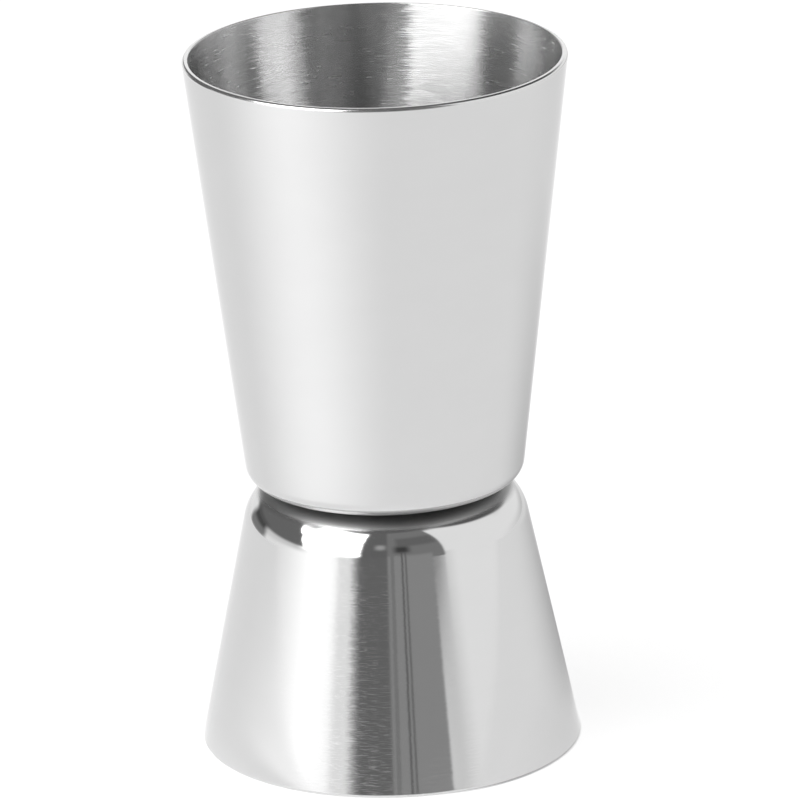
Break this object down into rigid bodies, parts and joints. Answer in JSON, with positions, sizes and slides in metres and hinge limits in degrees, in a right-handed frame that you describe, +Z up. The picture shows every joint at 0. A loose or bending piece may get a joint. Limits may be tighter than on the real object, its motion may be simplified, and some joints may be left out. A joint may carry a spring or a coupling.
{
  "type": "bar jigger",
  "caption": "Two-ended spirit measure: a deep tapered steel cup and a shorter, wider-tapered one welded floor to floor, with mirror-polished walls and ground rims.",
  "frame": {"origin": "centre of the small cup's rim plane, on which the jigger stands", "axes": "+Z up along the common axis of both cups, from the small cup to the large cup; X and Y are equivalent"},
  "size_m": [0.043, 0.043, 0.0804],
  "materials": {
    "large_cup_steel": "stainless sheet, mirror-polished outside, finely brushed round the inside, rim ground and polished",
    "small_cup_steel": "stainless sheet, mirror-polished outside with faint turning marks, finely brushed round the inside",
    "weld_steel": "bare fused stainless steel, dull"
  },
  "bodies": {
    "root": {"large_cup": "large_cup_steel", "small_cup": "small_cup_steel", "spot_welds": "weld_steel"}
  },
  "joints": []
}
